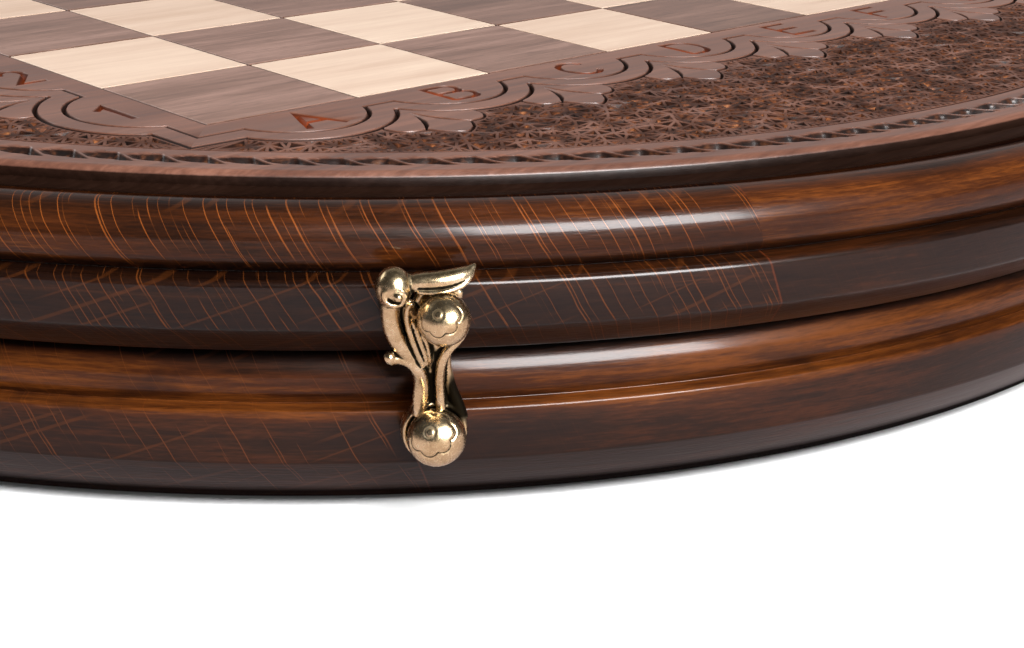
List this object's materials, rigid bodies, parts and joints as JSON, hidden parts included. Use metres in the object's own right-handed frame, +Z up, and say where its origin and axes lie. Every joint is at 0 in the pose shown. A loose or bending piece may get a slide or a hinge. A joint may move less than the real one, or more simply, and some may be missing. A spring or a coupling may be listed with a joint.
{
  "type": "chess box with drawers",
  "caption": "Round chess board on stacked turned mouldings, carved border, half-moon drawers that slide out front and back, cast brass swing latches.",
  "frame": {"origin": "centre of the plane of the feet, under the middle of the board", "axes": "+Z up, +X from the a-file to the h-file, +Y from the first rank to the eighth"},
  "size_m": [0.5999, 0.6, 0.075],
  "materials": {
    "stained_wood": "glossy lacquer over dark stain",
    "drawer_wood": "plain oiled",
    "plywood": "matte",
    "dark_veneer": "satin lacquer",
    "pale_veneer": "satin lacquer",
    "antique_brass": "cast, aged and rubbed",
    "felt": "short felt",
    "pad": "dense felt pad"
  },
  "bodies": {
    "case": {"base_panel": "plywood", "carved_frame": "stained_wood", "catch_studs": "antique_brass", "cheek_left": "stained_wood", "cheek_right": "stained_wood", "core_panel": "drawer_wood", "dark_squares": "dark_veneer", "feet": "pad", "guide_battens": "drawer_wood", "guide_left": "drawer_wood", "guide_right": "drawer_wood", "light_squares": "pale_veneer", "spine": "drawer_wood", "stop_pegs": "drawer_wood", "upper_moulding": "stained_wood"},
    "front_drawer": {"front_drawer_back": "drawer_wood", "front_drawer_centre_divider": "drawer_wood", "front_drawer_cross_dividers": "drawer_wood", "front_drawer_felt": "felt", "front_drawer_floor": "plywood", "front_drawer_front": "stained_wood", "front_drawer_pivot_studs": "antique_brass", "front_drawer_side_left": "drawer_wood", "front_drawer_side_right": "drawer_wood"},
    "rear_drawer": {"rear_drawer_back": "drawer_wood", "rear_drawer_centre_divider": "drawer_wood", "rear_drawer_cross_dividers": "drawer_wood", "rear_drawer_felt": "felt", "rear_drawer_floor": "plywood", "rear_drawer_front": "stained_wood", "rear_drawer_pivot_studs": "antique_brass", "rear_drawer_side_left": "drawer_wood", "rear_drawer_side_right": "drawer_wood"},
    "latch_front_left": {"latch_front_left": "antique_brass"},
    "latch_front_right": {"latch_front_right": "antique_brass"},
    "latch_rear_left": {"latch_rear_left": "antique_brass"},
    "latch_rear_right": {"latch_rear_right": "antique_brass"}
  },
  "joints": [
    {"name": "front_drawer_slide", "type": "slide", "parent": "case", "child": "front_drawer", "axis": [0, -1, 0], "range_m": [0, 0.14]},
    {"name": "rear_drawer_slide", "type": "slide", "parent": "case", "child": "rear_drawer", "axis": [0, 1, 0], "range_m": [0, 0.14]},
    {"name": "latch_front_left_swing", "type": "hinge", "parent": "front_drawer", "child": "latch_front_left", "pos_m": [-0.16482, -0.23982, 0.0248], "axis": [-0.5664, -0.8241, 0], "range_deg": [0, 100]},
    {"name": "latch_front_right_swing", "type": "hinge", "parent": "front_drawer", "child": "latch_front_right", "pos_m": [0.16482, -0.23982, 0.0248], "axis": [0.5664, -0.8241, 0], "range_deg": [0, 100]},
    {"name": "latch_rear_right_swing", "type": "hinge", "parent": "rear_drawer", "child": "latch_rear_right", "pos_m": [0.16482, 0.23982, 0.0248], "axis": [0.5664, 0.8241, 0], "range_deg": [0, 100]},
    {"name": "latch_rear_left_swing", "type": "hinge", "parent": "rear_drawer", "child": "latch_rear_left", "pos_m": [-0.16482, 0.23982, 0.0248], "axis": [-0.5664, 0.8241, 0], "range_deg": [0, 100]}
  ]
}
